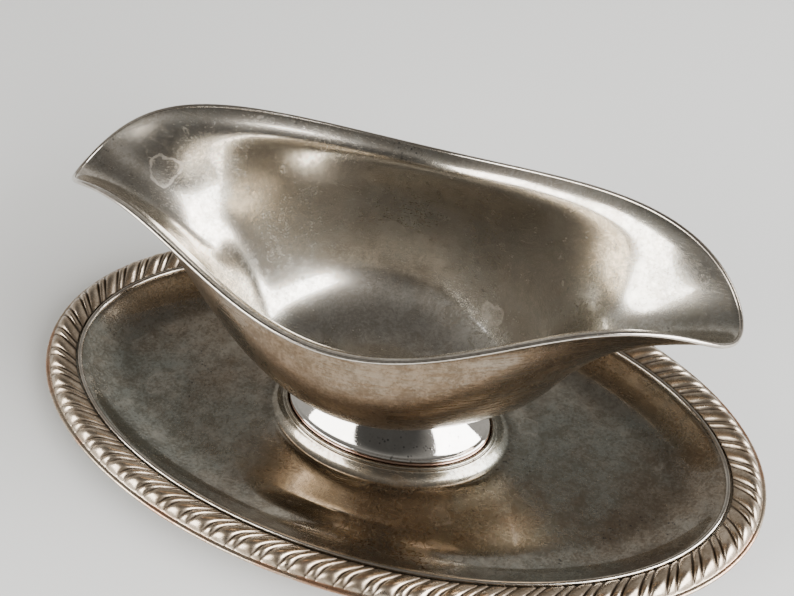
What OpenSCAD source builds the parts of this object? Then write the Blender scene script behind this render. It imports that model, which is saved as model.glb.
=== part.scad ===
// Double-lipped sauce boat on an oval pedestal foot, bolted to its own oval tray.
// The origin is on the table under the middle of the tray, X runs from lip to lip, Z is up.
// Every oval is an ellipse given by its half length along X and its half width along Y.

/* [Tray] */
// Length of the tray over its border
tray_l = 229; // [215:1:240]
// Width of the tray over its border
tray_w = 133; // [125:1:142]
// Height of the tray's flat rim, where the border is soldered
rim_z = 9; // [7.5:0.5:11]
// Thickness of the silver-plated sheet
sheet = 1; // [0.8:0.1:1.2]
// Width of the curved wall between the flat rim and the well, seen from above
wall_w = 13; // [10:0.5:16]

/* [Border] */
// Width of the gadroon border, from its outer edge to its inner edge
border_w = 10; // [8:0.5:11]
// Height of the border's crest above the flat rim
border_h = 2.4; // [1.8:0.1:3]
// Number of lobes round the border
lobe_count = 68; // [60:1:90]
// How far the crest of a lobe stands above the groove beside it
lobe_lift = 0.9; // [0.6:0.1:1.2]
// How far a lobe's inner end runs ahead of its outer end, in lobes
lobe_lean = 0.9; // [0.6:0.1:1.4]
// Width of the plain bead inside the border
bead_w = 1.8; // [1.4:0.1:2.2]

/* [Foot] */
// Length of the foot along X
foot_l = 65; // [60:1:70]
// Width of the foot along Y
foot_w = 40; // [36:1:44]
// Height of the seat that the foot stands on
seat_z = 4.6; // [4:0.1:5]
// Length of the foot's neck, where it meets the bowl
neck_l = 30.4; // [26:0.2:34]
// Width of the foot's neck
neck_w = 16.2; // [15:0.2:20]
// Diameter of the wire round the foot's lower edge
foot_wire_d = 1.8; // [1.4:0.1:2.2]

/* [Bowl] */
// Length of the bowl from lip to lip
bowl_l = 187; // [180:1:194]
// Width of the bowl across its middle
bowl_w = 84; // [78:1:90]
// Height of the underside of the bowl
bowl_z = 23.2; // [22:0.2:24]
// Mean height of the rim
rim_h = 80.9; // [78:0.1:84]
// How far the rim rises and falls about its mean height
rim_wave = 6.2; // [5:0.2:7]
// How strongly the sides draw in towards the lips
lip_pinch = 0.08; // [0.06:0.005:0.1]
// How square the lips end
lip_square = 0.04; // [0.02:0.005:0.05]
// How far the sides are turned outwards below the rim
side_band = 6.5; // [4:0.5:8]
// Depth over which that turned-out band curves down into the wall
band_drop = 2.2; // [1.8:0.1:3]
// Diameter of the rounded wire along the rim
rim_wire_d = 1.4; // [1.2:0.1:2]

/* [Fastening] */
// Diameter of the stud
stud_d = 4; // [3:0.5:4]
// Diameter of the hole in the tray
hole_d = 4.6; // [4.4:0.1:5.4]
// Nut size across its flats
nut_flats = 8; // [7:0.5:9]
// Thickness of the nut
nut_h = 3; // [2.4:0.1:3.2]
// Diameter of the washer
washer_d = 11; // [9:0.5:12]
// Thickness of the washer
washer_h = 0.8; // [0.6:0.1:1]
// Height of the middle of the tray, which the nut pulls against
hub_z = 8.4; // [8:0.1:9]

/* [Smoothness] */
// Straight steps round the tray, the bowl and the rim wire
round_steps = 72; // [48:4:76]
// Straight steps round the foot and its wire
foot_steps = 48; // [36:4:60]

/* [Hidden] */

silver = [0.72, 0.70, 0.64];
worn_copper = [0.72, 0.55, 0.46];
brass = [0.75, 0.62, 0.35];

wall_steps = 7;
cove_steps = 7;
foot_rows = 8;
bowl_rows = 14;                 // they lie closer together towards the rim
wire_sides = 8;
fine = 48;                      // facets of a round hole, pin or washer
seam = 0.05;                    // solder gap between two pieces that lie against each other

bead_inset = border_w + bead_w + seam;  // outer edge of the tray to the inner edge of the bead
well_floor = sheet;                     // the well's underside stands on the table
foot_bottom = seat_z + foot_wire_d + 2 * seam;
hub_flat = [9, 6];                      // half sizes of the flat middle of the hub
hub_top = [14, 9];                      // half sizes of the hub where it starts to fall
hub_foot = [foot_l / 2 - 7, foot_w / 2 - 5];  // half sizes of the hub where it meets the seat
seat_margin = 0.2;                      // how far the seat shows past the foot
boss_ridge = 2;                         // height of the ridge round the foot, above the seat
ridge_middle = 1.5;                     // from the foot's edge to the middle of that ridge
ridge_half = 1.1;                       // half its width
cove_start = 3;                         // from the foot's edge to the top of the cove
boss_reach = 12;                        // how far the cove round the foot runs out into the well
cove_drop = 3.2;                        // height of the cove over the well
cove_hollow = 2.4;                      // 1 gives a straight cove, more gives a hollow one
rim_lap = 0.7;                          // how far the flat rim reaches in past the bead
rim_setback = 1.3;                      // how far the flat rim stops short of the border's edge
bead_h = 1.1;                           // height of the bead over the flat rim
foot_edge_round = 0.6;                  // how far the foot's wall starts inside its edge
foot_hollow = 1.4;                      // 1 gives a straight wall, more gives a hollow one
floor_margin = 0.8;                     // how far the bowl's flat bottom reaches past the neck
belly_share = [0.74, 0.6];              // how far out the bottom runs, at the sides and the lips
shoulder_share = [1.12, 0.215];         // how far out the flare starts, at the sides and the lips
shoulder_rise = [0.69, 0.66];           // how high the flare starts, at the sides and the lips
bridge_w = 8;                           // width of the plate that crosses the foot
bridge_run = [0.455, 0.55];             // where the bridge plate lies, between foot edge and neck
stud_tip = 0.9;                         // length of stud below the nut
washer_z = hub_z - sheet - seam - washer_h;
nut_z = washer_z - seam - nut_h;

// ---- ovals, lofts and wires ----

// A ring of points on an oval, [half length, half width, height]
function oval_ring(size, steps) = [
  for (i = [0:steps - 1])
    let (turn = 360 * i / steps)
    [size[0] * cos(turn), size[1] * sin(turn), size[2]]
];

// A profile of ovals moved by gap, square to the profile and to its left as it runs
function oval_offset(profile, gap) = [
  for (i = [0:len(profile) - 1])
    let (
      before = profile[max(i - 1, 0)],
      after = profile[min(i + 1, len(profile) - 1)],
      run = after[0] - before[0],
      climb = after[2] - before[2],
      step = gap / norm([run, climb])
    )
    profile[i] + [-climb, -climb, run] * step
];

function reversed(list) = [for (i = [len(list) - 1:-1:0]) list[i]];

// A solid through rings of points, which run anticlockwise seen from above. A looped loft goes
// round its section anticlockwise, out along the bottom, and joins its last ring to its first.
// The others run from the bottom to the top, and a flat face closes each end.
module loft(rings, looped = false) {
  steps = len(rings[0]);
  count = len(rings);
  spans = looped ? count : count - 1;
  sides = [
    for (r = [0:spans - 1], i = [0:steps - 1])
      let (
        a = r * steps + i,
        b = r * steps + (i + 1) % steps,
        c = ((r + 1) % count) * steps + (i + 1) % steps,
        d = ((r + 1) % count) * steps + i
      )
      each [[a, c, b], [a, d, c]]
  ];
  bottom = [for (i = [0:steps - 1]) i];
  top = [for (i = [steps - 1:-1:0]) (count - 1) * steps + i];
  polyhedron(
    points = [for (ring = rings) each ring],
    faces = looped ? sides : concat([bottom], sides, [top]),
    convexity = 6
  );
}

// A round wire along a closed path of points that runs anticlockwise seen from above
module wire(path, diameter) {
  steps = len(path);
  frames = [
    for (i = [0:steps - 1])
      let (
        run = path[(i + 1) % steps] - path[(i + steps - 1) % steps],
        out = [run[1], -run[0], 0] / norm([run[0], run[1]])
      )
      [out, cross(out, run) / norm(cross(out, run))]
  ];
  loft([
    for (j = [0:wire_sides - 1])
      let (around = 360 * (j + 0.5) / wire_sides - 90)
      [
        for (i = [0:steps - 1])
          path[i] + (frames[i][0] * cos(around) - frames[i][1] * sin(around)) * diameter / 2
      ]
  ], looped = true);
}

// ---- tray ----

// Ovals that follow the foot's edge at a distance, and ovals that follow the tray's edge
function round_foot(out, z) = [foot_l / 2 + out, foot_w / 2 + out, z];
function inside_edge(inset, z) = [tray_l / 2 - inset, tray_w / 2 - inset, z];

hub = [concat(hub_flat, hub_z), concat(hub_top, hub_z), concat(hub_foot, seat_z)];
seat_edge = round_foot(seat_margin, seat_z);
ridge = [
  for (turn = [150:-50:0])
    round_foot(ridge_middle + ridge_half * cos(turn), seat_z + boss_ridge * sin(turn))
];
cove = [
  for (i = [0:cove_steps])
    let (run = i / cove_steps)
    round_foot(cove_start + (boss_reach - cove_start) * run, well_floor + cove_drop * pow(1 - run, cove_hollow))
];
wall = [
  for (i = [0:wall_steps])
    let (run = i / wall_steps)
    inside_edge(bead_inset + wall_w * (1 - run), well_floor + (rim_z - well_floor) * (1 - cos(90 * run)))
];
flat_rim = [inside_edge(bead_inset - rim_lap, rim_z), inside_edge(rim_setback, rim_z)];

module tray() {
  top_side = concat(hub, [seat_edge], ridge, cove, wall, flat_rim);
  under_hub = [for (size = concat(hub, [seat_edge])) size - [0, 0, sheet]];
  under_side = concat(under_hub, oval_offset(concat(cove, wall, flat_rim), -sheet));
  color(silver)
    difference() {
      loft([for (size = concat(under_side, reversed(top_side))) oval_ring(size, round_steps)]);
      translate([0, 0, hub_z - 2 * sheet])
        cylinder(h = 3 * sheet, d = hole_d, $fn = fine);
    }
}

// ---- border ----

// Share of a turn that spaces points evenly along the border's oval and not by angle
function even_turn(turn) =
  let (
    length = tray_l / 2 - border_w / 2,
    width = tray_w / 2 - border_w / 2,
    stretch = (length ^ 2 - width ^ 2) / (length ^ 2 + width ^ 2) / 4
  )
  turn + stretch * sin(2 * turn) * 180 / PI;

// Section of the border, from its inner edge out along the rim and back over the top:
// [distance from the outer edge, height above the flat rim, share of the lobe's lift, lean]
border_section = [
  [border_w, seam, 0, 1],
  [1.2, seam, 0, 0],
  [1, -1.3, 0, 0],
  [0.2, -1, 0, 0],
  [0, 0.2, 0, 0],
  [0.5, border_h - 1.4, 0, 0],
  [1.6, border_h - 0.9, 0, 0],
  [2.4, border_h - 0.9, 1, 0.05],
  [4.6, border_h - 0.8, 1, 0.35],
  [7, border_h - 1.1, 1, 0.65],
  [border_w - 0.9, border_h - 2, 0.6, 0.95],
];

module gadroon_border() {
  ridges = 2 * lobe_count;
  color(silver)
    loft([
      for (edge = border_section)
        [
          for (i = [0:ridges - 1])
            let (
              turn = even_turn(360 * (i + 2 * lobe_lean * edge[3]) / ridges),
              lift = (i % 2) * edge[2] * lobe_lift
            )
            [
              (tray_l / 2 - edge[0]) * cos(turn),
              (tray_w / 2 - edge[0]) * sin(turn),
              rim_z + edge[1] + lift
            ]
        ]
    ], looped = true);
}

module border_bead() {
  half_round = [
    for (turn = [180:45:360])
      inside_edge(bead_inset - bead_w / 2 * (1 + cos(turn)), rim_z + seam - bead_h * sin(turn))
  ];
  color(silver)
    loft([for (size = reversed(half_round)) oval_ring(size, round_steps)], looped = true);
}

// ---- foot ----

// The foot's outer skin steepens as it goes up: run is 0 at its lower edge and 1 at the neck
function foot_oval(run) =
  let (spread = 1 - run, start = foot_bottom + sheet)
  [
    neck_l / 2 + (foot_l / 2 - foot_edge_round - neck_l / 2) * spread,
    neck_w / 2 + (foot_w / 2 - foot_edge_round - neck_w / 2) * spread,
    start + (bowl_z - seam - start) * pow(run, foot_hollow)
  ];

module foot() {
  outside = [for (i = [0:foot_rows]) foot_oval(i / foot_rows)];
  inside = oval_offset(outside, sheet);
  color(silver)
    loft([for (size = concat(outside, reversed(inside))) oval_ring(size, foot_steps)], looped = true);
}

module foot_wire() {
  color(worn_copper)
    wire(oval_ring(round_foot(-foot_wire_d / 2, seat_z + seam + foot_wire_d / 2), foot_steps), foot_wire_d);
}

// ---- bowl ----

// Where the bowl's outer skin ends below the rim wire
function rim_point(turn) = [
  bowl_l / 2 * cos(turn),
  bowl_w / 2 * ((1 - lip_pinch - lip_square) * sin(turn) - lip_pinch * sin(3 * turn) + lip_square * sin(5 * turn)),
  rim_h - rim_wave * cos(4 * turn)
];

// A value that is one thing at the bowl's sides and another at its lips
function side_to_lip(side, lip, turn) = side + (lip - side) * cos(turn) ^ 2;

// A point on the outer skin: rise is 0 at the edge of the flat bottom and 1 at the rim.
// The belly handle sets how far the bottom runs out before the wall turns up, and the
// shoulder handle how far out and how high the wall is where it starts to flare. The sides then
// draw in below the rim, which leaves the rim itself turned out in a band.
function skin_point(turn, rise) =
  let (
    floor_point = [(neck_l / 2 + floor_margin) * cos(turn), (neck_w / 2 + floor_margin) * sin(turn), bowl_z],
    rim = rim_point(turn),
    span = rim - floor_point,
    belly_out = side_to_lip(belly_share[0], belly_share[1], turn),
    shoulder_out = side_to_lip(shoulder_share[0], shoulder_share[1], turn),
    shoulder_up = side_to_lip(shoulder_rise[0], shoulder_rise[1], turn),
    belly = floor_point + [span[0] * belly_out, span[1] * belly_out, 0],
    shoulder = floor_point + [span[0] * shoulder_out, span[1] * shoulder_out, span[2] * shoulder_up],
    left = 1 - rise,
    plain = floor_point * left ^ 3 + belly * 3 * left ^ 2 * rise + shoulder * 3 * left * rise ^ 2 + rim * rise ^ 3,
    turned_out = 1 - exp((plain[2] - rim[2]) / band_drop),
    side = sin(turn) * abs(sin(turn))
  )
  plain - [0, side_band * side * turned_out * rise ^ 3, 0];

// The outward direction, square to the skin
function skin_out(turn, rise) =
  let (
    step = 0.01,
    along = skin_point(turn + step * 60, rise) - skin_point(turn - step * 60, rise),
    up = skin_point(turn, min(rise + step / 4, 1)) - skin_point(turn, max(rise - step / 4, 0)),
    out = cross(along, up)
  )
  out / norm(out);

function skin_ring(rise, depth) = [
  for (i = [0:round_steps - 1])
    let (turn = 360 * i / round_steps)
    skin_point(turn, rise) - skin_out(turn, rise) * depth
];

module bowl() {
  rises = [for (i = [0:bowl_rows]) 1 - pow(1 - i / bowl_rows, 1.6)];
  outer = [for (rise = rises) skin_ring(rise, 0)];
  inner = [for (rise = rises) skin_ring(rise, sheet)];
  color(silver)
    loft(concat(outer, reversed(inner)));
}

module rim_wire() {
  path = [
    for (i = [0:round_steps - 1])
      let (
        turn = 360 * i / round_steps,
        last = skin_point(turn, 1),
        up = last - skin_point(turn, 0.99)
      )
      last - skin_out(turn, 1) * sheet / 2 + up / norm(up) * (rim_wire_d / 2 + seam)
  ];
  color(silver)
    wire(path, rim_wire_d);
}

// ---- fastening ----

// Two ovals that fit inside the foot: the underside and the top of the bridge plate
bridge_ovals = oval_offset([for (run = bridge_run) foot_oval(run)], sheet + seam);
bridge_z = bridge_ovals[0][2];
bridge_h = bridge_ovals[1][2] - bridge_z;

// A strip across the inside of the foot, whose ends follow the foot's wall
module bridge_plate() {
  color(brass)
    difference() {
      intersection() {
        loft([for (size = bridge_ovals) oval_ring(size, foot_steps)]);
        translate([-foot_l / 2, -bridge_w / 2, 0])
          cube([foot_l, bridge_w, bowl_z]);
      }
      translate([0, 0, bridge_z - 1])
        cylinder(h = bridge_h + 2, d = stud_d + 2 * seam, $fn = fine);
    }
}

// The stud is riveted over on top of the bridge plate and threaded at its lower end
module stud() {
  tip = nut_z - stud_tip;
  color(brass) {
    translate([0, 0, tip])
      cylinder(h = bridge_z + bridge_h + seam - tip, d = stud_d, $fn = fine);
    translate([0, 0, bridge_z + bridge_h + seam])
      cylinder(h = 1.2, d = stud_d + 2.4, $fn = fine);
    translate([0, 0, bridge_z - seam - 1])
      cylinder(h = 1, d = stud_d + 1.6, $fn = fine);
  }
}

module washer() {
  color(brass)
    translate([0, 0, washer_z])
      difference() {
        cylinder(h = washer_h, d = washer_d, $fn = fine);
        translate([0, 0, -1])
          cylinder(h = washer_h + 2, d = stud_d + 0.4, $fn = fine);
      }
}

module nut() {
  across_corners = nut_flats / cos(30);
  color(brass)
    translate([0, 0, nut_z])
      difference() {
        cylinder(h = nut_h, d = across_corners, $fn = 6);
        translate([0, 0, -1])
          cylinder(h = nut_h + 2, d = stud_d + 2 * seam, $fn = fine);
      }
}

tray();
gadroon_border();
border_bead();
foot();
foot_wire();
bowl();
rim_wire();
bridge_plate();
stud();
washer();
nut();
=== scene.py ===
# %% [markdown]
# # A double-lipped sauce boat in old silver plate
# The real object is put together from thin raised sheet: a bowl with a pouring lip at each
# end, an oval foot under it, and a tray that a nut under the middle pulls up against the foot.
# A stamped gadroon border is soldered round the tray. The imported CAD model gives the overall
# sizes and places, and this script makes the smooth, worn metal that the model leaves plain.

# %% Load the frame
import math

import bmesh
import bpy
from mathutils import Matrix, Vector


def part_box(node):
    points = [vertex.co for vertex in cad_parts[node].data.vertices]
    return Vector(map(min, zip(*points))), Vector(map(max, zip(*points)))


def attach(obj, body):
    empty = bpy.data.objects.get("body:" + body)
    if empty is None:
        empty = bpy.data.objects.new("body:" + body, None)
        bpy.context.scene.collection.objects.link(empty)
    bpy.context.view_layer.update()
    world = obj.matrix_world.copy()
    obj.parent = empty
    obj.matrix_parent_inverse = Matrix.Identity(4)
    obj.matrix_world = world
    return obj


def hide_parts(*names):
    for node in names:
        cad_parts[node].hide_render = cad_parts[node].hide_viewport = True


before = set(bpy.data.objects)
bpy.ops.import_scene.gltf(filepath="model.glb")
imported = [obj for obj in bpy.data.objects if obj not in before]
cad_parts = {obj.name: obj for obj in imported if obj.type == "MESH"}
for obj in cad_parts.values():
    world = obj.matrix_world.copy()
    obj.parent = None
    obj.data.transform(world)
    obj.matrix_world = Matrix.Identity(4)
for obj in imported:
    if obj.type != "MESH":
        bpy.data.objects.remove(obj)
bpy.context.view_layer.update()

# %% [markdown]
# ## Tools for working in edit mode
# Most of the pieces are drawn out like a potter's work: a ring of points is extruded, and each
# new ring is scaled and lifted to its own size. An operator acts on whatever is selected, so
# every piece starts with nothing selected. Lengths are written in millimetres, as on a
# drawing, and MM turns them into Blender's metres.

# %% Edit-mode helpers
MM = 0.001
WELD = 0.01  # points closer together than this are merged


def clear_selection():
    """Object mode, with nothing selected."""
    if bpy.context.mode != "OBJECT":
        bpy.ops.object.mode_set(mode="OBJECT")
    bpy.ops.object.select_all(action="DESELECT")


def work_on(piece):
    """Selects one piece alone and makes it active."""
    clear_selection()
    piece.select_set(True)
    bpy.context.view_layer.objects.active = piece


def start_ring(name, oval, steps):
    """A ring of points on an oval, given as half length, half width and height in mm. It is left
    selected in edit mode."""
    clear_selection()
    length, width, height = oval
    bpy.ops.mesh.primitive_circle_add(vertices=steps, radius=width * MM)
    piece = bpy.context.object
    piece.name = name
    bpy.ops.object.mode_set(mode="EDIT")
    bpy.ops.mesh.select_all(action="SELECT")
    bpy.ops.transform.resize(value=(length / width, 1, 1), center_override=(0, 0, 0))
    bpy.ops.transform.translate(value=(0, 0, height * MM))
    return piece


def draw_out(oval, target):
    """Extrudes the selected ring, an oval of one size, into the next oval."""
    move = (0, 0, (target[2] - oval[2]) * MM)
    stretch = (target[0] / oval[0], target[1] / oval[1], 1)
    bpy.ops.mesh.extrude_region_move(TRANSFORM_OT_translate={"value": move})
    bpy.ops.transform.resize(value=stretch, center_override=(0, 0, 0))


def draw_profile(name, profile, steps):
    """A shell through a list of ovals, drawn out ring by ring. It is left in edit mode."""
    piece = start_ring(name, profile[0], steps)
    for oval, target in zip(profile, profile[1:]):
        draw_out(oval, target)
    return piece


def merge_points(distance):
    """Makes one point of all the points of the piece that lie within a distance in mm."""
    bpy.ops.mesh.select_all(action="SELECT")
    bpy.ops.mesh.remove_doubles(threshold=distance * MM)


def join_open_edges():
    """Bridges the two open edges of the piece with a band of faces."""
    bpy.ops.mesh.select_all(action="DESELECT")
    bpy.ops.mesh.select_non_manifold()
    bpy.ops.mesh.bridge_edge_loops()


def face_towards(point, direction):
    """Makes the normals agree, then turns them all so that the face nearest the point, in mm,
    looks along the direction."""
    bpy.ops.mesh.select_all(action="SELECT")
    bpy.ops.mesh.normals_make_consistent(inside=False)
    mesh = bmesh.from_edit_mesh(bpy.context.object.data)
    place = Vector(point) * MM
    nearest = min(mesh.faces, key=lambda face: (face.calc_center_median() - place).length)
    if nearest.normal.dot(Vector(direction)) < 0:
        bpy.ops.mesh.flip_normals()


def apply_modifier(piece, kind, **settings):
    """Adds a modifier with these settings and applies it."""
    work_on(piece)
    modifier = piece.modifiers.new(kind.title(), kind)
    for name, value in settings.items():
        setattr(modifier, name, value)
    bpy.ops.object.modifier_apply(modifier=modifier.name)


def subdivide(piece, levels):
    """Smooths the piece with a subdivision surface."""
    apply_modifier(piece, "SUBSURF", levels=levels, render_levels=levels)


def finish_piece(piece, stands_for, materials, smooth_below):
    """Smooth shading below an angle in degrees, the materials, and the piece's place in the
    frame. Clearing the materials loses which face has which, so that is kept and put back."""
    work_on(piece)
    bpy.ops.object.shade_smooth_by_angle(angle=math.radians(smooth_below))
    numbers = [face.material_index for face in piece.data.polygons]
    piece.data.materials.clear()
    for material in materials:
        piece.data.materials.append(material)
    piece.data.polygons.foreach_set("material_index", numbers)
    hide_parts(stands_for)
    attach(piece, "root")
    triangles = sum(len(face.vertices) - 2 for face in piece.data.polygons)
    size = [round(value / MM, 1) for value in piece.dimensions]
    print(piece.name, "-", triangles, "triangles,", size, "mm")


# %% [markdown]
# ## Driving sizes
# The frame's boxes give the sizes that every piece shares: the tray over its border, the foot
# over its wire, the bowl from lip to lip. They are read from it, so that the visual pieces and
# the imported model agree.

# %% Sizes from the frame
SHEET = 1.1
WELL_TOP = SHEET


def half_sizes(node):
    """Half length and half width of a CAD node, in mm."""
    low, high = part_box(node)
    return (high[0] - low[0]) / 2 / MM, (high[1] - low[1]) / 2 / MM


def levels_of(node):
    """Lowest and highest level of a CAD node, in mm."""
    low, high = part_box(node)
    return low[2] / MM, high[2] / MM


EDGE_X, EDGE_Y = half_sizes("gadroon_border")
FOOT_X, FOOT_Y = half_sizes("foot_wire")
BOWL_X, BOWL_Y = half_sizes("bowl")
BOWL_BASE, BOWL_TOP = levels_of("bowl")
RIM_Z = levels_of("tray")[1]
SEAT_Z = levels_of("foot_wire")[0]
print("tray half sizes", round(EDGE_X, 1), round(EDGE_Y, 1), "rim", round(RIM_Z, 1))
print("bowl half sizes", round(BOWL_X, 1), round(BOWL_Y, 1), "base", round(BOWL_BASE, 1))


def inside_edge(inset, height):
    """An oval that keeps a distance from the tray's outer edge."""
    return EDGE_X - inset, EDGE_Y - inset, height


def round_foot(reach, height):
    """An oval that keeps a distance from the foot's edge."""
    return FOOT_X + reach, FOOT_Y + reach, height


def around_foot(section, base):
    """Ovals round the foot, for a section given as reach past its edge and height over a base."""
    return [round_foot(reach, base + height) for reach, height in section]


# %% [markdown]
# ## Old silver plate as a set of node groups
# All the silver here is one finish at different ages, with painted shade added on the belly and in
# the border's grooves. Five effects make the finish: clouds of brown and blue-grey tarnish, freckles
# and pits where the plate has failed, hairline scratches from polishing, pale rings where water
# dried, and the slow waves of hand-worked sheet. Each effect is a node group, so that every
# material can use it with its own strength. The shader itself stays in the material. Scales are in
# waves or cells to a metre.

# %% Node helpers


def new_group(name, values, outputs):
    """A shader node group that takes coordinates and named values, each given with its default,
    and puts out named values."""
    group = bpy.data.node_groups.new(name, "ShaderNodeTree")
    sockets = group.interface
    sockets.new_socket("Coordinates", in_out="INPUT", socket_type="NodeSocketVector")
    for socket, default in values.items():
        made = sockets.new_socket(socket, in_out="INPUT", socket_type="NodeSocketFloat")
        made.default_value = default
    for socket in outputs:
        sockets.new_socket(socket, in_out="OUTPUT", socket_type="NodeSocketFloat")
    return group, group.nodes.new("NodeGroupInput"), group.nodes.new("NodeGroupOutput")


def input_of(node, name):
    """A node's input by its name, or by its number for a name such as i2."""
    if name[0] == "i" and name[1:].isdigit():
        return node.inputs[int(name[1:])]
    return node.inputs[name]


def add_node(tree, kind, settings=None, **inputs):
    """A node with its settings and its inputs: a value is set, and a socket is linked."""
    node = tree.nodes.new("ShaderNode" + kind)
    for name, value in (settings or {}).items():
        setattr(node, name, value)
    for name, value in inputs.items():
        socket = input_of(node, name)
        if isinstance(value, bpy.types.NodeSocket):
            tree.links.new(value, socket)
        else:
            socket.default_value = value
    return node


def noise(tree, place, scale, detail, roughness=0.55, distortion=0.0):
    """A noise texture's value."""
    settings = {"Scale": scale, "Detail": detail, "Roughness": roughness, "Distortion": distortion}
    return add_node(tree, "TexNoise", Vector=place, **settings).outputs["Fac"]


def ramp(tree, value, given, wanted=(0.0, 1.0)):
    """A value brought smoothly from one range to another, and held at the range's ends."""
    ranges = {"i1": given[0], "i2": given[1], "i3": wanted[0], "i4": wanted[1]}
    smooth = {"interpolation_type": "SMOOTHSTEP"}
    return add_node(tree, "MapRange", smooth, Value=value, **ranges).outputs["Result"]


def math_node(tree, operation, first, second):
    """One sum, product or the like of two values."""
    return add_node(tree, "Math", {"operation": operation}, i0=first, i1=second).outputs[0]


def times(tree, first, second):
    """The product of two values."""
    return math_node(tree, "MULTIPLY", first, second)


def plus(tree, first, second):
    """The sum of two values."""
    return math_node(tree, "ADD", first, second)


def larger(tree, first, second):
    """The larger of two values."""
    return math_node(tree, "MAXIMUM", first, second)


def mix_color(tree, share, first, second, how="MIX"):
    """A blend of two colours."""
    settings = {"data_type": "RGBA", "blend_type": how}
    return add_node(tree, "Mix", settings, i0=share, i6=first, i7=second).outputs[2]


# %% Tarnish clouds
BLUE_SHIFT = (0.31, 0.17, 0.23)  # takes the blue clouds from another part of the noise
BLOTCHES = 170.0
GRAINS = 1100.0


def make_tarnish():
    """Masks of brown tarnish and of blue-grey tarnish, in clouds of two sizes, and a fine
    mottle of blotches and grains."""
    strengths = {"Size": 30.0, "Brown": 0.5, "Blue": 0.3}
    masks = ["Brown Mask", "Blue Mask", "Mottle"]
    group, given, result = new_group("tarnish_clouds", strengths, masks)
    place = given.outputs["Coordinates"]
    size = given.outputs["Size"]
    broad = noise(group, place, size, detail=3.0, distortion=0.6)
    fine = noise(group, place, times(group, size, 6.0), detail=8.0, roughness=0.72, distortion=0.3)
    cloud = plus(group, times(group, broad, 0.6), times(group, fine, 0.4))
    brown = times(group, ramp(group, cloud, (0.38, 0.64)), given.outputs["Brown"])
    shifted = add_node(group, "Mapping", Vector=place, Location=BLUE_SHIFT).outputs[0]
    far = noise(group, shifted, times(group, size, 0.8), detail=3.0, roughness=0.6, distortion=0.5)
    near = noise(group, shifted, times(group, size, 9.0), detail=6.0, roughness=0.7, distortion=0.2)
    other = plus(group, times(group, far, 0.65), times(group, near, 0.35))
    blue = times(group, ramp(group, other, (0.42, 0.62)), given.outputs["Blue"])
    blotch = noise(group, shifted, BLOTCHES, detail=5.0, roughness=0.7, distortion=0.5)
    blotch = times(group, blotch, 0.5)
    grain = times(group, noise(group, shifted, GRAINS, detail=3.0, roughness=0.7), 0.5)
    mottle = ramp(group, plus(group, blotch, grain), (0.40, 0.60))
    group.links.new(mottle, result.inputs["Mottle"])
    group.links.new(brown, result.inputs["Brown Mask"])
    group.links.new(blue, result.inputs["Blue Mask"])
    print("node group", group.name)
    return group


TARNISH = make_tarnish()

# %% Freckles and pits
FRECKLE_PATCHES = 38.0
FRECKLE_GRAIN = 420.0


def make_freckles():
    """A mask of small dark spots, which crowd together in patches."""
    group, given, result = new_group("freckles", {"Size": 900.0, "Amount": 0.5}, ["Mask"])
    place = given.outputs["Coordinates"]
    size = given.outputs["Size"]
    cells = add_node(group, "TexVoronoi", Vector=place, Scale=size, Randomness=1.0)
    dots = ramp(group, cells.outputs["Distance"], (0.14, 0.40), (1.0, 0.0))
    patches = noise(group, place, FRECKLE_PATCHES, detail=3.0, roughness=0.6)
    patches = ramp(group, patches, (0.50, 0.66))
    grain = noise(group, place, FRECKLE_GRAIN, detail=2.0, roughness=0.5)
    grain = ramp(group, grain, (0.50, 0.60))
    mask = times(group, times(group, dots, patches), grain)
    group.links.new(times(group, mask, given.outputs["Amount"]), result.inputs["Mask"])
    print("node group", group.name)
    return group


FRECKLES = make_freckles()

# %% Hairline scratches
LINE_TURNS = (4, 71, 139)
LINE_TILT = 0.2
LINE_FAN = 0.3
LINE_LENGTH = 45.0  # how many times longer than wide a line is


def make_scratches():
    """Fine polishing lines: noise drawn out long in one direction, for three directions."""
    group, given, result = new_group("hairlines", {"Size": 45.0}, ["Height"])
    place = given.outputs["Coordinates"]
    total = None
    for number, turn in enumerate(LINE_TURNS):
        laid = (LINE_FAN * number, LINE_TILT, math.radians(turn))
        drawn = (1.0, LINE_LENGTH, LINE_LENGTH)
        along = add_node(group, "Mapping", Vector=place, Rotation=laid, Scale=drawn).outputs[0]
        lines = noise(group, along, given.outputs["Size"], detail=3.0, roughness=0.7)
        sharp = ramp(group, lines, (0.56, 0.74))
        total = sharp if total is None else larger(group, total, sharp)
    group.links.new(total, result.inputs["Height"])
    print("node group", group.name)
    return group


HAIRLINES = make_scratches()

# %% Dried water marks
WOBBLES = 130.0
WOBBLE_DEPTH = 0.0035


def make_water_marks():
    """Thin pale outlines of drops that dried: the edges of a few scattered, uneven spots, each
    with a fainter film inside it."""
    group, given, result = new_group("water_marks", {"Size": 70.0, "Amount": 0.5}, ["Mask"])
    place = given.outputs["Coordinates"]
    size = given.outputs["Size"]
    wobble = add_node(group, "TexNoise", Vector=place, Scale=WOBBLES, Detail=2.0).outputs["Color"]
    push = {"blend_type": "LINEAR_LIGHT"}
    bent = add_node(group, "MixRGB", push, Fac=WOBBLE_DEPTH, Color1=place, Color2=wobble).outputs[0]
    cells = add_node(group, "TexVoronoi", Vector=bent, Scale=size, Randomness=1.0)
    distance = cells.outputs["Distance"]
    inner = ramp(group, distance, (0.24, 0.29))
    outer = ramp(group, distance, (0.29, 0.34), (1.0, 0.0))
    ring = times(group, inner, outer)
    film = ramp(group, distance, (0.27, 0.31), (0.35, 0.0))
    chosen = add_node(group, "SeparateColor", Color=cells.outputs["Color"]).outputs[0]
    some = ramp(group, chosen, (0.76, 0.78))
    mark = times(group, larger(group, ring, film), some)
    group.links.new(times(group, mark, given.outputs["Amount"]), result.inputs["Mask"])
    print("node group", group.name)
    return group


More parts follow.
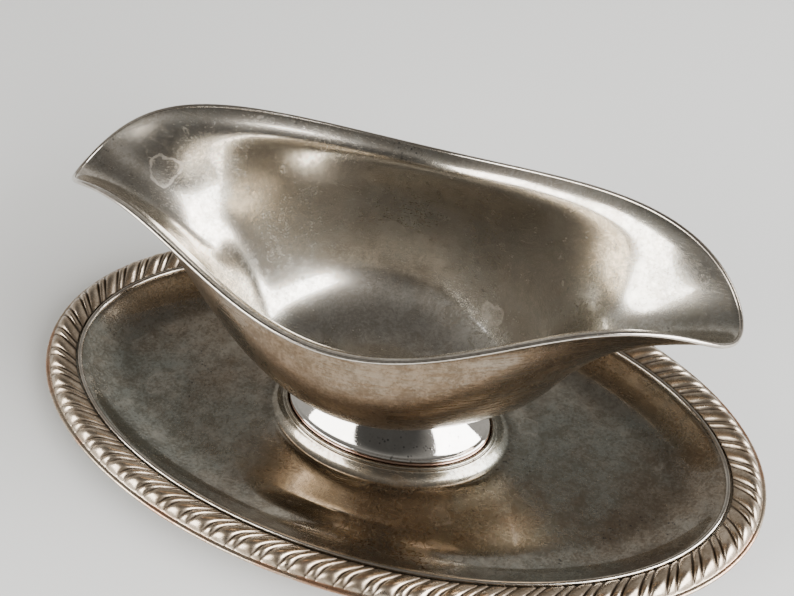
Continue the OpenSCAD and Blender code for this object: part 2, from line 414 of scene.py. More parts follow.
WATER_MARKS = make_water_marks()

# %% Uneven sheet


def make_uneven_sheet():
    """The slow waves that hammering and spinning leave in thin sheet, and that bend reflections."""
    group, given, result = new_group("uneven_sheet", {"Size": 28.0}, ["Height"])
    waves = noise(group, given.outputs["Coordinates"], given.outputs["Size"], 1.0, 0.4)
    group.links.new(waves, result.inputs["Height"])
    print("node group", group.name)
    return group


UNEVEN = make_uneven_sheet()

# %% [markdown]
# ## The metals
# One function mixes the effects, and each piece calls it with its own values of wear and shade:
# the belly's silver is the darkest, heavy tarnish with a painted shade that keeps the outside of the
# bowl far darker than its inside, and the tray's comes next; the foot is nearly clean, and the
# border has painted shade with tarnish in its grooves and copper on its ridges. Tarnish is a hazy
# skin, so the metal itself is a little rough, and a thin clear coat over it keeps the sharp mirror
# image that old plate still shows. The brass under the tray uses the same effects in a plainer mix.

# %% Metal helpers
CLEAN_SILVER = (0.66, 0.61, 0.54, 1)
BROWN_TARNISH = (0.24, 0.165, 0.10, 1)
BLUE_TARNISH = (0.20, 0.235, 0.22, 1)
# Near-black for the freckles, and for the painted shade in the border's grooves.
DARK_SPOT_AND_SHADE = (0.035, 0.026, 0.02, 1)
WORN_COPPER = (0.62, 0.33, 0.20, 1)
PALE_MARK = (0.62, 0.57, 0.50, 1)
MOTTLE_TINT = (0.50, 0.46, 0.40, 1)


def place_group(tree, group, coordinates, **values):
    """A group in a material, fed with coordinates and its own values."""
    node = tree.nodes.new("ShaderNodeGroup")
    node.node_tree = group
    tree.links.new(coordinates, node.inputs["Coordinates"])
    for name, value in values.items():
        node.inputs[name].default_value = value
    return node.outputs


def new_metal(name):
    """A metal material: itself, its node tree, its shader and the piece's own coordinates."""
    material = bpy.data.materials.new(name)
    material.use_nodes = True
    tree = material.node_tree
    shader = tree.nodes["Principled BSDF"]
    shader.inputs["Metallic"].default_value = 1.0
    print("material", name)
    return material, tree, shader, tree.nodes.new("ShaderNodeTexCoord").outputs["Object"]


# %% Streaks and wear
STREAKS = 70.0
STREAK_LENGTH = 16.0
COPPER_PATCHES = 60.0


def add_streaks(tree, place, color, rough, strength):
    """Level brown lines over a colour, which make the metal rougher too."""
    level = add_node(tree, "Mapping", Vector=place, Scale=(1.0, 1.0, STREAK_LENGTH)).outputs[0]
    line = ramp(tree, noise(tree, level, STREAKS, detail=5.0, roughness=0.7), (0.42, 0.66))
    line = times(tree, line, strength)
    return mix_color(tree, line, color, BROWN_TARNISH), larger(tree, rough, line)


def add_groove_shade_and_wear(tree, place, color, rough, attribute):
    """Darkens the colour where an attribute is low, in the grooves: painted shade together with
    tarnish, which also makes the metal rougher there. Patches of bare copper where it is high.
    """
    ridge = tree.nodes.new("ShaderNodeAttribute")
    ridge.attribute_name = attribute
    height = ridge.outputs["Fac"]
    groove_shade_and_tarnish = ramp(tree, height, (0.0, 0.45), (1.0, 0.0))
    # Painted shade in the grooves, with their tarnish: the colour is pulled most of the way to near-black
    # where the ridge attribute is low.
    color = mix_color(tree, times(tree, groove_shade_and_tarnish, 0.8), color, DARK_SPOT_AND_SHADE)
    patchy = ramp(tree, noise(tree, place, COPPER_PATCHES, detail=3.0), (0.42, 0.6))
    copper = times(tree, ramp(tree, height, (0.75, 1.0)), patchy)
    color = mix_color(tree, times(tree, copper, 0.7), color, WORN_COPPER)
    return color, plus(tree, rough, times(tree, groove_shade_and_tarnish, 0.9))


# %% Silver plate
SPLASHES = 330.0  # cells to a metre of the small water marks
SPLASH_SHARE = 0.45
WAVE_DEPTH = 0.00025  # metres
SCRATCH_DEPTH = 0.00004  # metres
COAT_ROUGHNESS = 0.04
COAT_IOR = 2.4
COAT_ON_TARNISH = 0.3  # the share of the coat that is left over tarnish


def silver_plate(name, brown, blue, cloud, marks, base=CLEAN_SILVER, spots=0.5, polish=0.14,
                 dull=0.2, coat=0.5, mottle=0.5, streaks=0.0, ridge_for_shade_and_wear=None):
    """Old silver plate. brown, blue, spots, marks, mottle and streaks are how strong each effect
    is, and cloud is how many tarnish clouds there are to a metre. polish is the roughness of
    clean metal, dull is what tarnish adds to it, and coat is the weight of the clear coat. The last
    argument names an attribute that is 0 in grooves and 1 on ridges; it gives the grooves painted
    shade with tarnish and the ridges copper wear."""
    material, tree, shader, place = new_metal(name)
    clouds = place_group(tree, TARNISH, place, Size=cloud, Brown=brown, Blue=blue)
    freckles = place_group(tree, FRECKLES, place, Amount=spots)["Mask"]
    hairlines = place_group(tree, HAIRLINES, place)["Height"]
    drops = place_group(tree, WATER_MARKS, place, Amount=marks)["Mask"]
    small = {"Size": SPLASHES, "Amount": SPLASH_SHARE * marks}
    water = larger(tree, drops, place_group(tree, WATER_MARKS, place, **small)["Mask"])
    waves = place_group(tree, UNEVEN, place)["Height"]
    brown_mask, blue_mask = clouds["Brown Mask"], clouds["Blue Mask"]
    color = mix_color(tree, blue_mask, base, BLUE_TARNISH)
    color = mix_color(tree, brown_mask, color, BROWN_TARNISH)
    color = mix_color(tree, water, color, PALE_MARK)
    rough = larger(tree, brown_mask, blue_mask)
    if streaks:
        color, rough = add_streaks(tree, place, color, rough, streaks)
    rough = plus(tree, rough, times(tree, water, 0.5))
    # Painted shade with tarnish in the grooves, and copper wear on the ridges.
    if ridge_for_shade_and_wear:
        color, rough = add_groove_shade_and_wear(tree, place, color, rough, ridge_for_shade_and_wear)
    blotches = times(tree, clouds["Mottle"], mottle)
    color = mix_color(tree, blotches, color, MOTTLE_TINT, "MULTIPLY")
    color = mix_color(tree, freckles, color, DARK_SPOT_AND_SHADE)
    rough = plus(tree, rough, times(tree, hairlines, 0.3))
    rough = plus(tree, rough, times(tree, clouds["Mottle"], 0.3))
    metal = ramp(tree, rough, (0.0, 1.4), (polish, polish + dull))
    mirror = ramp(tree, rough, (0.1, 1.2), (coat, COAT_ON_TARNISH * coat))
    tree.links.new(color, shader.inputs["Base Color"])
    tree.links.new(metal, shader.inputs["Roughness"])
    tree.links.new(mirror, shader.inputs["Coat Weight"])
    shader.inputs["Coat Roughness"].default_value = COAT_ROUGHNESS
    shader.inputs["Coat IOR"].default_value = COAT_IOR
    depth = math_node(tree, "SUBTRACT", times(tree, hairlines, 0.3), freckles)
    slow = add_node(tree, "Bump", Strength=1.0, Distance=WAVE_DEPTH, Height=waves).outputs["Normal"]
    sharp = {"Strength": 0.25, "Distance": SCRATCH_DEPTH}
    bump = add_node(tree, "Bump", Height=depth, Normal=slow, **sharp).outputs["Normal"]
    tree.links.new(bump, shader.inputs["Normal"])
    tree.links.new(slow, shader.inputs["Coat Normal"])
    return material


# %% Dull brass
FRESH_BRASS = (0.60, 0.42, 0.18, 1)
BROWN_BRASS = (0.20, 0.12, 0.05, 1)
GREEN_BRASS = (0.16, 0.24, 0.17, 1)
FILE_MARKS = 160.0
FILE_MARK_DEPTH = 0.00005  # metres


def dull_brass(name):
    """Brass that was never polished: brown in clouds, with fine file marks."""
    material, tree, shader, place = new_metal(name)
    clouds = place_group(tree, TARNISH, place, Size=120.0, Brown=0.7, Blue=0.15)
    marks = place_group(tree, HAIRLINES, place, Size=FILE_MARKS)["Height"]
    color = mix_color(tree, clouds["Brown Mask"], FRESH_BRASS, BROWN_BRASS)
    color = mix_color(tree, clouds["Blue Mask"], color, GREEN_BRASS)
    tree.links.new(color, shader.inputs["Base Color"])
    rough = ramp(tree, clouds["Brown Mask"], (0.0, 1.0), (0.32, 0.55))
    tree.links.new(rough, shader.inputs["Roughness"])
    bump = add_node(tree, "Bump", Strength=0.3, Distance=FILE_MARK_DEPTH, Height=marks)
    tree.links.new(bump.outputs["Normal"], shader.inputs["Normal"])
    return material


# %% The metal of each piece
BOWL_SILVER = silver_plate(
    "bowl_silver", base=(0.86, 0.80, 0.70, 1), brown=0.35, blue=0.45, cloud=24.0, spots=0.9,
    marks=1.0, polish=0.15, dull=0.27, coat=0.6, mottle=0.65,
)
# Painted shade: the dark base colour keeps the outside of the bowl far darker than its inside, besides its
# tarnish and streaks.
SHADED_BELLY_SILVER = silver_plate(
    "shaded_belly_silver", base=(0.31, 0.245, 0.175, 1), brown=0.8, blue=0.2, cloud=34.0, marks=0.1,
    polish=0.18, dull=0.22, coat=0.2, mottle=0.8, streaks=0.8,
)
RIM_SILVER = silver_plate("rim_silver", brown=0.4, blue=0.05, cloud=40.0, spots=0.3, marks=0.0)
FOOT_SILVER = silver_plate(
    "foot_silver", base=(0.78, 0.75, 0.70, 1), brown=0.1, blue=0.1, cloud=50.0, spots=1.0,
    marks=0.1, polish=0.04, dull=0.1, mottle=0.15,
)
TRAY_SILVER = silver_plate(
    "tray_silver", base=(0.54, 0.49, 0.39, 1), brown=0.7, blue=0.7, cloud=18.0, spots=1.0,
    marks=0.35, dull=0.22, coat=0.7, mottle=0.85,
)
# The ridge attribute gives the border painted shade with tarnish in its grooves and copper on its ridges.
BORDER_SILVER = silver_plate(
    "border_silver", base=(0.72, 0.60, 0.47, 1), brown=0.5, blue=0.15, cloud=60.0, spots=0.3,
    marks=0.0, coat=0.15, polish=0.24, mottle=0.7, ridge_for_shade_and_wear="ridge",
)
BEAD_SILVER = silver_plate("bead_silver", brown=0.4, blue=0.1, cloud=60.0, spots=0.3, marks=0.0)
COPPER_EDGE = silver_plate(
    "copper_edge", base=(0.55, 0.33, 0.24, 1), brown=0.5, blue=0.1, cloud=90.0, marks=0.0,
)
BRASS = dull_brass("dull_brass")

# %% [markdown]
# ## The bowl
# A silversmith raises the bowl from one flat sheet. It swells from a small oval bottom, and at
# the rim it is drawn out to a long lip at each end, while the sides are turned outwards in a
# narrow band. Each ring of points is drawn out of the last and then moved on to its curve,
# four mirrored points at a time, so that the two ends and the two sides match.

# %% Curves of the bowl
AROUND = 96
RIM_WAVE = 6.2
RIM_MEAN = BOWL_TOP - RIM_WAVE
LIP_PINCH = 0.08
LIP_SQUARE = 0.04
LIP_BAND = 6.5
LIP_DROP = 2.2
FLOOR_X, FLOOR_Y = 16, 8.9

# The skin rises from the floor to the rim past a belly and a shoulder. These say how far out or
# up they stand, as a share of the way from floor to rim, at the sides and at the lips.
BELLY_OUT = (0.74, 0.60)
SHOULDER_OUT = (1.12, 0.215)
SHOULDER_UP = (0.69, 0.66)


def rim_point(turn):
    """The bowl's edge, in mm: it dips in the middle of each side and at the tip of each lip."""
    angle = math.radians(turn)
    across = (1 - LIP_PINCH - LIP_SQUARE) * math.sin(angle)
    across += LIP_SQUARE * math.sin(5 * angle) - LIP_PINCH * math.sin(3 * angle)
    height = RIM_MEAN - RIM_WAVE * math.cos(4 * angle)
    return Vector((BOWL_X * math.cos(angle), BOWL_Y * across, height))


def side_to_lip(shares, turn):
    """A value that is the first share at the sides and the second at the lips."""
    side, lip = shares
    return side + (lip - side) * math.cos(math.radians(turn)) ** 2


def skin_point(turn, rise):
    """The bowl's outer skin, in mm: rise goes from 0 at the bottom oval to 1 at the rim."""
    angle = math.radians(turn)
    rim = rim_point(turn)
    floor = Vector((FLOOR_X * math.cos(angle), FLOOR_Y * math.sin(angle), BOWL_BASE))
    span = rim - floor
    low = side_to_lip(BELLY_OUT, turn)
    high = side_to_lip(SHOULDER_OUT, turn)
    height = side_to_lip(SHOULDER_UP, turn)
    belly = floor + Vector((span.x * low, span.y * low, 0))
    shoulder = floor + Vector((span.x * high, span.y * high, span.z * height))
    left = 1 - rise
    point = left**3 * floor + 3 * left**2 * rise * belly + 3 * left * rise**2 * shoulder + rise**3 * rim
    turned_out = 1 - math.exp((point.z - rim.z) / LIP_DROP)
    point.y -= LIP_BAND * math.sin(angle) ** 2 * turned_out * rise**3
    return point


print("rim from", round(rim_point(0).z, 1), "at the lips to", round(rim_point(45).z, 1), "mm")

# %% Moving a ring on to its curve


def ring_in_order():
    """The numbers of the selected ring's points, in order from the +X end."""
    mesh = bmesh.from_edit_mesh(bpy.context.object.data)
    ring = [point for point in mesh.verts if point.select]
    ring.sort(key=lambda point: (math.atan2(point.co.y, point.co.x) + 0.001) % math.tau)
    return [point.index for point in ring]


def select_points(numbers):
    """Selects the points with these numbers, and what lies between them. It returns their
    places in mm."""
    bpy.ops.mesh.select_all(action="DESELECT")
    mesh = bmesh.from_edit_mesh(bpy.context.object.data)
    mesh.verts.ensure_lookup_table()
    for number in numbers:
        mesh.verts[number].select = True
    mesh.select_flush(True)
    return [mesh.verts[number].co / MM for number in numbers]


def shape_ring(curve):
    """Moves the selected ring on to a curve, which gives a point in mm for a turn in degrees."""
    order = ring_in_order()
    quarter = len(order) // 4
    half = 2 * quarter
    for step in range(quarter + 1):
        right = [order[step], order[-step]]
        left = [order[half - step], order[(half + step) % len(order)]]
        place = select_points(right + left)[0]
        target = curve(90 * step / quarter)
        stretch = [target[axis] / place[axis] if abs(place[axis]) > 0.001 else 1 for axis in (0, 1)]
        bpy.ops.transform.resize(value=(*stretch, 1), center_override=(0, 0, 0))
        bpy.ops.transform.translate(value=(0, 0, (target[2] - place[2]) * MM))
    select_points(order)


# %% Draw the bowl out of its bottom oval
RISES = 16
RISE_EASE = 1.6  # above 1 brings the rings closer together towards the rim
BELLY_Z = 50
bottom = [(2.4, 1.6), (8, 5.3), (FLOOR_X, FLOOR_Y)]

bowl = draw_profile("sauce_bowl", [(*oval, BOWL_BASE) for oval in bottom], AROUND)
for step in range(1, RISES + 1):
    rise = 1 - (1 - step / RISES) ** RISE_EASE
    bpy.ops.mesh.extrude_region_move()
    shape_ring(lambda turn: skin_point(turn, rise))
select_points(range(AROUND))
bpy.ops.mesh.edge_face_add()
bpy.ops.mesh.poke()
face_towards((0, -BOWL_Y, BELLY_Z), (0, -1, 0))

# The inner wall takes the second material, so both have to be there before the wall is made.
bowl.data.materials.append(SHADED_BELLY_SILVER)
bowl.data.materials.append(BOWL_SILVER)
apply_modifier(bowl, "SOLIDIFY", thickness=SHEET * MM, offset=-1, material_offset=1)
subdivide(bowl, 2)
finish_piece(bowl, "bowl", [SHADED_BELLY_SILVER, BOWL_SILVER], smooth_below=60)

# %% [markdown]
# ## The rounded rim
# The edge of the sheet is thickened and rounded, so that it is safe to hold and pours cleanly.
# It is drawn as a line of edges on the bowl's rim, which becomes a curve, gets its thickness
# as a curve's bevel, and then becomes a mesh again.

# %% Rim
RIM_ROUND = 0.66
RIM_SHARE = 0.995  # sets the wire a little in from the sheet's edge
RIM_LIFT = 0.85


def wire_along(piece, radius):
    """Turns a ring of edges into a round wire."""
    work_on(piece)
    bpy.ops.object.convert(target="CURVE")
    curve = bpy.context.object
    curve.data.bevel_depth = radius * MM
    curve.data.bevel_resolution = 3
    bpy.ops.object.convert(target="MESH")
    return bpy.context.object


rim = start_ring("rounded_rim", (BOWL_X, BOWL_Y, RIM_MEAN), 2 * AROUND)
shape_ring(lambda turn: rim_point(turn) * RIM_SHARE + Vector((0, 0, RIM_LIFT)))
rim = wire_along(rim, RIM_ROUND)
finish_piece(rim, "rim_wire", [RIM_SILVER], smooth_below=80)

# %% [markdown]
# ## The foot
# A low oval trumpet with a rounded edge, soldered under the bowl. Its cove is the brightest
# part of the whole piece, as fingers and cloths reach it least. The section runs down the
# outside, round the edge and back up the inside.

# %% Foot
FOOT_EDGE_Z, FOOT_TOP_Z = levels_of("foot")
NECK_X, NECK_Y = 15.2, 8.1
EDGE_ROUND = 0.9
HOLLOW = 1.2  # above 1 hollows the trumpet's side


def foot_oval(run, inward=0.0, lift=0.0):
    """The side of the foot: run goes from 0 at the edge to 1 at the neck."""
    start = FOOT_EDGE_Z + SHEET
    length = NECK_X + (FOOT_X - EDGE_ROUND - NECK_X) * (1 - run) - inward
    width = NECK_Y + (FOOT_Y - EDGE_ROUND - NECK_Y) * (1 - run) - inward
    return length, width, start + (FOOT_TOP_Z - start) * run**HOLLOW + lift


outside = [foot_oval(run) for run in (1, 0.9, 0.8, 0.7, 0.6, 0.5, 0.4, 0.3, 0.2, 0.12, 0.06, 0.02)]
edge = around_foot([(-0.5, 0.95), (-0.15, 0.6), (-0.3, 0.1), (-1.4, 0), (-2.4, 0.2)], FOOT_EDGE_Z)
inside = [foot_oval(run, inward=SHEET, lift=-0.5) for run in (0.12, 0.3, 0.5, 0.7, 0.9)]
foot = draw_profile("foot_trumpet", outside + edge + inside, AROUND)
join_open_edges()
face_towards((0, -FOOT_Y, FOOT_EDGE_Z), (0, -1, 0))
subdivide(foot, 2)
finish_piece(foot, "foot", [FOOT_SILVER], smooth_below=60)

# %% Wire under the foot
wire_low, wire_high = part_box("foot_wire")
WIRE = (wire_high[2] - wire_low[2]) / 2 / MM

foot_wire = start_ring("foot_edge_wire", round_foot(-WIRE, SEAT_Z + WIRE), 2 * AROUND)
foot_wire = wire_along(foot_wire, WIRE)
finish_piece(foot_wire, "foot_wire", [COPPER_EDGE], smooth_below=80)

# %% [markdown]
# ## The tray
# One sheet, sunk in a die. From the middle outwards it has a raised hub that the foot hides, a
# flat seat, a rounded ridge that keeps the foot from sliding, a cove that falls into the well,
# the well's floor, its curved wall and the flat rim that the border covers.

# %% The middle of the tray
HOLE = 2.3
HUB_TOP = 8.4
RIDGE_REACH, RIDGE_HALF = 0.8, 0.6
RIDGE_RISE, RIDGE_H = 0.9, 0.7

# Half length, half width and height of the hub's ovals, from the hole to the seat.
hub = [
    (HOLE, HOLE, HUB_TOP),
    (9, 6, HUB_TOP),
    (13.5, 8.6, 8.35),
    (15.5, 9.6, 8.0),
    (25, 13.4, 4.75),
    (27.5, 14.6, SEAT_Z),
]
seat = around_foot([(-1, 0), (0.2, 0)], SEAT_Z)
ridge = []
for turn in (200, 160, 120, 80, 40, 10):
    angle = math.radians(turn)
    reach = RIDGE_REACH + RIDGE_HALF * math.cos(angle)
    ridge.append(round_foot(reach, SEAT_Z + RIDGE_RISE + RIDGE_H * math.sin(angle)))

# Outside the ridge, as reach past the foot's edge and height over the table.
ledge = [(1.5, 5.45), (1.7, 5.55), (2.0, 5.45), (2.25, 5.1)]
cove = [(2.6, 4.6), (3.2, 3.85), (4.0, 3.1), (5.0, 2.5), (5.9, 2.2)]
swell = [(6.3, 2.4), (7.6, 2.45), (10, 2.15), (13, 1.6), (18, 1.15)]
middle = hub + seat + ridge + around_foot(ledge + cove + swell, 0)
print(len(middle), "ovals from the hole to the well")

# %% The well, the wall and the rim of the tray
BEAD_BAND = 1.8  # width of the bead on the CAD model
BEAD_INSET = EDGE_X - half_sizes("border_bead")[0] + BEAD_BAND
WALL_W = 18
WALL_CURVE = 2.3
WALL_STEPS = 8
RIM_LAP = 0.8
RIM_SETBACK = 1.4
TRAY_SHEET = 0.95
WELL_X = 60

wall = []
for step in range(WALL_STEPS + 1):
    run = step / WALL_STEPS
    height = WELL_TOP + (RIM_Z - WELL_TOP) * run**WALL_CURVE
    wall.append(inside_edge(BEAD_INSET + WALL_W * (1 - run), height))
flat = [inside_edge(BEAD_INSET - RIM_LAP, RIM_Z), inside_edge(RIM_SETBACK, RIM_Z)]
tray = draw_profile("tray_dish", middle + wall + flat, 2 * AROUND)
face_towards((WELL_X, 0, WELL_TOP), (0, 0, 1))
apply_modifier(tray, "SOLIDIFY", thickness=TRAY_SHEET * MM, offset=-1)
subdivide(tray, 1)
finish_piece(tray, "tray", [TRAY_SILVER], smooth_below=60)

# %% Bead inside the border
BEAD_W = 1.85
BEAD_H = 1.15
BEAD_LIFT = 0.05

section = []
for turn in range(0, 181, 30):
    angle = math.radians(turn)
    inset = BEAD_INSET - BEAD_W / 2 - BEAD_W / 2 * math.cos(angle)
    section.append(inside_edge(inset, RIM_Z + BEAD_LIFT + BEAD_H * math.sin(angle)))
bead = draw_profile("plain_bead", section + [section[0]], AROUND)
merge_points(WELD)
face_towards((EDGE_X - BEAD_INSET + BEAD_W / 2, 0, RIM_Z + BEAD_H), (0, 0, 1))
subdivide(bead, 1)
finish_piece(bead, "border_bead", [BEAD_SILVER], smooth_below=60)

# %% [markdown]
# ## The gadroon border
# The border is cast or stamped in strips and bent round the tray. Each unit is a broad round
# lobe with a thin reed beside it. They start square to the edge and sweep sideways until they
# lie almost along the inner bead. One unit is modelled flat, copied in a straight row, and the
# row is then bent round an oval, which fans the lobes out at the tray's ends as the real
# border does.

# %% The oval that the border follows
LOBES = 68
OUTER_INSET = 1.3
MID_INSET = 5.0
INNER_INSET = 9.75

clear_selection()
bpy.ops.curve.primitive_bezier_circle_add(radius=MM)
path = bpy.context.object
path.data.resolution_u = 64
path.data.use_radius = False
path.scale = (EDGE_X - MID_INSET, EDGE_Y - MID_INSET, 1)
bpy.ops.object.transform_apply(location=False, rotation=False, scale=True)
PITCH = path.data.splines[0].calc_length() / MM / LOBES
print("one lobe every", round(PITCH, 2), "mm")

# %% Columns along one unit
LOBE_H = 1.6
LOBE_MIDDLE, LOBE_HALF = 0.32, 0.30
REED_MIDDLE, REED_HALF = 0.82, 0.16
REED_SHARE = 0.85


def round_back(middle, half, height, points):
    """Columns over a half-round back: each is a place along the unit and a height, as shares."""
    return [(middle + half * point, height * math.sqrt(1 - point**2)) for point in points]


lobe = round_back(LOBE_MIDDLE, LOBE_HALF, 1, (-1, -0.88, -0.55, 0, 0.55, 0.88, 1))
reed = round_back(REED_MIDDLE, REED_HALF, REED_SHARE, (-1, -0.7, 0, 0.7, 1))
columns = [(0, 0)] + lobe + reed + [(1, 0)]
print(len(columns), "columns along a unit")

# %% Rows across the band
ROWS = 16
ROW_EASE = 1.15
CROWN_FOOT, CROWN_H, CROWN_LEAN = 0.1, 1.9, 0.9
NOSE_LENGTH, NOSE_BLUNT = 0.5, 0.75
LOBE_TAPER = 0.65
SWEEP, SWEEP_BEND = 6.4, 1.6

# The plain metal beside the lobes, as inset and height over the rim. The outer rim starts
# underneath and comes out round the edge and up to the lobes. The inner edge is one last row.
OUTER_RIM = [(1.2, -0.4), (1.05, -1.2), (0.5, -1.3), (0.1, -0.95), (0, -0.45), (0.25, -0.05)]
OUTER_RIM += [(0.65, 0.1), (1.1, 0.12)]
INNER_EDGE = (10, 0.3)

# A row is its inset from the edge, its height over the rim, its lobe height and its sweep.
rows = [(inset, height, 0, 0) for inset, height in OUTER_RIM]
for step in range(ROWS + 1):
    run = step / ROWS
    inset = OUTER_INSET + (INNER_INSET - OUTER_INSET) * run**ROW_EASE
    base = CROWN_FOOT + CROWN_H * math.sin(math.pi * run**CROWN_LEAN)
    nose = max(0, 1 - max(0, 1 - run / NOSE_LENGTH) ** 2) ** NOSE_BLUNT
    rows.append((inset, base, nose * (1 - LOBE_TAPER * run**2), run**SWEEP_BEND))
rows.append((*INNER_EDGE, 0, 1))
print(len(rows), "rows across the band")

# %% One unit of the border, flat
clear_selection()
bpy.ops.mesh.primitive_grid_add(x_subdivisions=len(columns) - 1, y_subdivisions=len(rows) - 1, size=MM)
border = bpy.context.object
border.name = "gadroon_band"
bpy.ops.object.mode_set(mode="EDIT")
for number, (share, height) in enumerate(columns):
    place = select_points(range(number, len(columns) * len(rows), len(columns)))[0]
    move = ((share * PITCH - place.x) * MM, 0, height * LOBE_H * MM)
    bpy.ops.transform.translate(value=move)
for number, (inset, height, lift, sweep) in enumerate(rows):
    start = number * len(columns)
    place = select_points(range(start, start + len(columns)))[0]
    bpy.ops.transform.resize(value=(1, 1, lift), center_override=(0, 0, 0))
    move = Vector((-sweep * SWEEP, MID_INSET - inset - place.y, RIM_Z + height)) * MM
    bpy.ops.transform.translate(value=move)
bpy.ops.object.mode_set(mode="OBJECT")
print("a unit of", len(border.data.polygons), "faces")

# %% Where the ridges are, for the painted groove shade and the wear
# Ridge shares of the plain metal. The lower the share, the more painted shade; only a high share shows
# copper wear.
OUTER_RIDGE_SHARE = 1.0
INNER_RIDGE_SHARE = 0.4
OUTER_RIDGE_LAP = 0.3


def plain_ridge_share(inset):
    """The ridge share of the plain metal: most at the outer edge, less at the inner edge, and none
    at all in the grooves between the lobes. A lower share gives more painted shade."""
    if inset < OUTER_INSET + OUTER_RIDGE_LAP:
        return OUTER_RIDGE_SHARE
    return INNER_RIDGE_SHARE if inset > INNER_INSET else 0.0


# The attribute sets painted shade with tarnish in the grooves and copper wear on the ridges.
ridge_share = border.data.attributes.new("ridge", "FLOAT", "POINT")
for row, (inset, height, lift, sweep) in enumerate(rows):
    for column, (share, raised) in enumerate(columns):
        ridge_for_shade_and_wear = max(raised * lift, plain_ridge_share(inset))
        ridge_share.data[row * len(columns) + column].value = ridge_for_shade_and_wear

# %% Copy the unit and bend the row round the oval
SEAM_WELD = 0.02  # wider than WELD, so that the last unit joins the first as well

apply_modifier(
    border,
    "ARRAY",
    count=LOBES,
    use_relative_offset=False,
    use_constant_offset=True,
    constant_offset_displace=(PITCH * MM, 0, 0),
    use_merge_vertices=True,
    merge_threshold=WELD * MM,
)
apply_modifier(border, "CURVE", object=path, deform_axis="POS_X")
bpy.data.objects.remove(path)
work_on(border)
bpy.ops.object.mode_set(mode="EDIT")
merge_points(SEAM_WELD)
join_open_edges()
face_towards((EDGE_X - MID_INSET, 0, RIM_Z + 3), (0, 0, 1))
subdivide(border, 1)
finish_piece(border, "gadroon_border", [BORDER_SILVER], smooth_below=60)

# %% [markdown]
# ## The brass pieces under the hub
# A stud is riveted to a plate across the inside of the foot, and a nut and washer draw the tray
# up to it. They show only from below. The stud and the washer are turned, so they are drawn out
# ring by ring like the foot. The plate is plain enough to stay as the CAD node that it is.

# %% Stud with its thread
STUD = 2.0
STUD_STEPS = 48
THREAD = 0.7
THREAD_DEPTH = 0.3
THREAD_START = 0.6
THREAD_END = 1.4
PLATE_LOW, PLATE_HIGH = levels_of("bridge_plate")
STUD_LOW, STUD_HIGH = levels_of("stud")


def turned(section, base):
    """Round rings for a section given as radius and height over a base."""
    return [(radius, radius, base + height) for radius, height in section]


thread = []
for number in range(int((PLATE_LOW - THREAD_END - STUD_LOW - THREAD_START) / THREAD)):
    crest = STUD_LOW + THREAD_START + number * THREAD
    thread += turned([(STUD, 0), (STUD - THREAD_DEPTH, THREAD / 2)], crest)
tip = turned([(1.3, 0), (1.9, 0.5)], STUD_LOW)
collar = turned([(STUD, -1.2), (2.8, -1.1), (2.8, -0.1), (STUD, 0)], PLATE_LOW)
rivet = turned([(STUD, 0), (3.2, 0.1), (3.1, 0.6)], PLATE_HIGH)
rivet += turned([(2.2, -0.15), (1.2, 0)], STUD_HIGH)
stud = draw_profile("threaded_stud", tip + thread + collar + rivet, STUD_STEPS)
bpy.ops.mesh.select_all(action="SELECT")
bpy.ops.mesh.fill_holes(sides=0)
face_towards((STUD, 0, PLATE_LOW), (1, 0, 0))
finish_piece(stud, "stud", [BRASS], smooth_below=35)

# %% Washer
WASHER = half_sizes("washer")[0]
WASHER_BEVEL = 0.2
WASHER_STEPS = 64
WASHER_LOW, WASHER_HIGH = levels_of("washer")

low_face = [(HOLE, 0), (WASHER - WASHER_BEVEL, 0), (WASHER, WASHER_BEVEL)]
high_face = [(WASHER, -WASHER_BEVEL), (WASHER - WASHER_BEVEL, 0), (HOLE, 0)]
rings = turned(low_face, WASHER_LOW) + turned(high_face, WASHER_HIGH)
washer = draw_profile("turned_washer", rings + [rings[0]], WASHER_STEPS)
merge_points(WELD)
face_towards((WASHER, 0, WASHER_LOW + 2 * WASHER_BEVEL), (1, 0, 0))
finish_piece(washer, "washer", [BRASS], smooth_below=35)

# %% Nut
NUT_LOW, NUT_HIGH = levels_of("nut")
NUT_CORNER = max(half_sizes("nut"))
NUT_RING = 0.5
NUT_BEVEL = 0.3

clear_selection()
bpy.ops.mesh.primitive_cylinder_add(
    vertices=6,
    radius=NUT_CORNER * MM,
    depth=(NUT_HIGH - NUT_LOW) * MM,
    location=(0, 0, (NUT_HIGH + NUT_LOW) / 2 * MM),
    rotation=(0, 0, math.radians(30)),
)
nut = bpy.context.object
nut.name = "hexagon_nut"
bpy.ops.object.transform_apply(location=True, rotation=True)
bpy.ops.object.mode_set(mode="EDIT")
bpy.ops.mesh.select_all(action="DESELECT")
for face in bmesh.from_edit_mesh(nut.data).faces:
    face.select = abs(face.normal.z) > 0.9
bpy.ops.mesh.inset(thickness=NUT_RING * MM, use_individual=True)
face_towards((NUT_CORNER, 0, NUT_LOW + 1), (1, 0, 0))
apply_modifier(nut, "BEVEL", width=NUT_BEVEL * MM, segments=2, limit_method="ANGLE")
finish_piece(nut, "nut", [BRASS], smooth_below=35)

# %% Brass for the plate
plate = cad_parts["bridge_plate"]
plate.data.materials.clear()
plate.data.materials.append(BRASS)
print(plate.name, "keeps its CAD shape")

# %% [markdown]
# ## Floor, light and camera
# Polished metal shows the room more than itself. Large soft lights stand in for windows to the
# left and right, and a dim, warm world stands in for the walls. The floor and the lights are
# given in metres, as a room is.

# %% Floor
FLOOR_SIZE = 6
PALE_PAPER = (0.72, 0.72, 0.70, 1)

clear_selection()
bpy.ops.mesh.primitive_plane_add(size=FLOOR_SIZE)
floor = bpy.context.object
floor.name = "floor"
paper = bpy.data.materials.new("pale_paper")
paper.use_nodes = True
paper_shader = paper.node_tree.nodes["Principled BSDF"]
paper_shader.inputs["Base Color"].default_value = PALE_PAPER
paper_shader.inputs["Roughness"].default_value = 0.85
floor.data.materials.append(paper)
print("floor", FLOOR_SIZE, "m across")

# %% Lights
LIT_POINT = Vector((0, 0, 0.03))


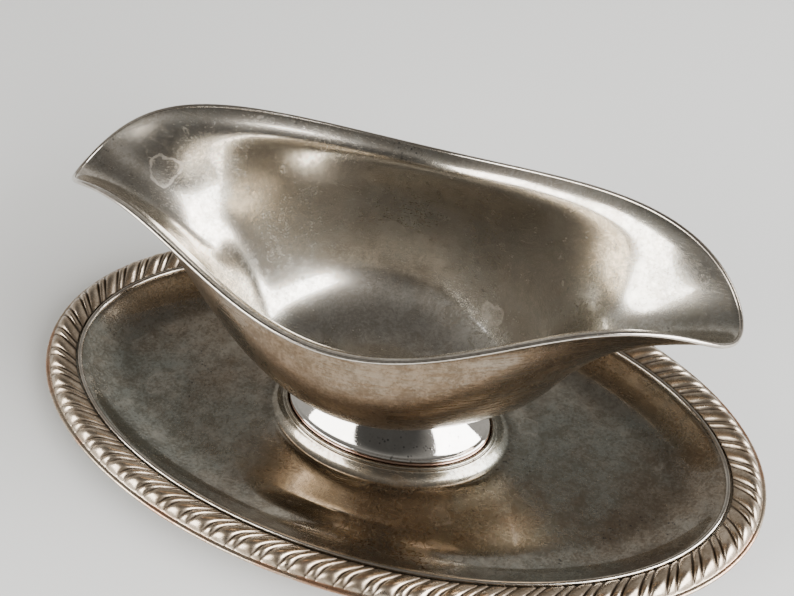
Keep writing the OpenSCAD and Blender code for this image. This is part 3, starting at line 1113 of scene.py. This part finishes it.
def window_light(name, place, size, power, color):
    """A soft rectangular light that looks at the object."""
    clear_selection()
    bpy.ops.object.light_add(type="AREA", location=place)
    light = bpy.context.object
    light.name = name
    light.data.shape = "RECTANGLE"
    light.data.size, light.data.size_y = size
    light.data.energy = power
    light.data.color = color
    light.rotation_euler = (LIT_POINT - Vector(place)).to_track_quat("-Z", "Y").to_euler()
    print("light", name, power, "W")


window_light("left_window", (-0.84, -0.84, 0.42), (0.85, 0.7), 20, (1.0, 0.98, 0.95))
window_light("right_window", (1.16, -0.25, 0.60), (1.7, 1.05), 78, (0.99, 0.99, 1.0))

# %% Walls of the room
WALLS = 0.5
CEILING = 0.13
NEAR_SIDE = 0.15
WARM_WHITE = (1.0, 0.97, 0.92, 1)


def make_room():
    """A dim world, darker overhead and on the side that the camera stands on."""
    world = bpy.data.worlds.new("room")
    world.use_nodes = True
    tree = world.node_tree
    direction = tree.nodes.new("ShaderNodeTexCoord").outputs["Generated"]
    along = add_node(tree, "SeparateXYZ", Vector=direction).outputs
    overhead = ramp(tree, along["Z"], (0.45, 1.0), (WALLS, CEILING))
    near_side = ramp(tree, along["Y"], (-0.88, -0.6), (NEAR_SIDE, 1.0))
    background = tree.nodes["Background"]
    background.inputs["Color"].default_value = WARM_WHITE
    tree.links.new(times(tree, overhead, near_side), background.inputs["Strength"])
    print("world", world.name)
    return world


bpy.context.scene.world = make_room()

# %% Camera
EYE = Vector((79.24, -211.99, 288.1)) * MM
LOOKS_AT = Vector((-7.05, 26.5, 27)) * MM
ROLL = math.radians(0.314)
LENS = 52.7
SENSOR = 36

clear_selection()
bpy.ops.object.camera_add(location=EYE)
camera = bpy.context.object
camera.data.lens = LENS
camera.data.sensor_width = SENSOR
turn = (LOOKS_AT - EYE).to_track_quat("-Z", "Y").to_matrix().to_4x4()
camera.matrix_world = Matrix.Translation(EYE) @ turn @ Matrix.Rotation(ROLL, 4, "Z")
bpy.context.scene.camera = camera
print("camera", round((LOOKS_AT - EYE).length / MM), "mm from the point that it looks at")
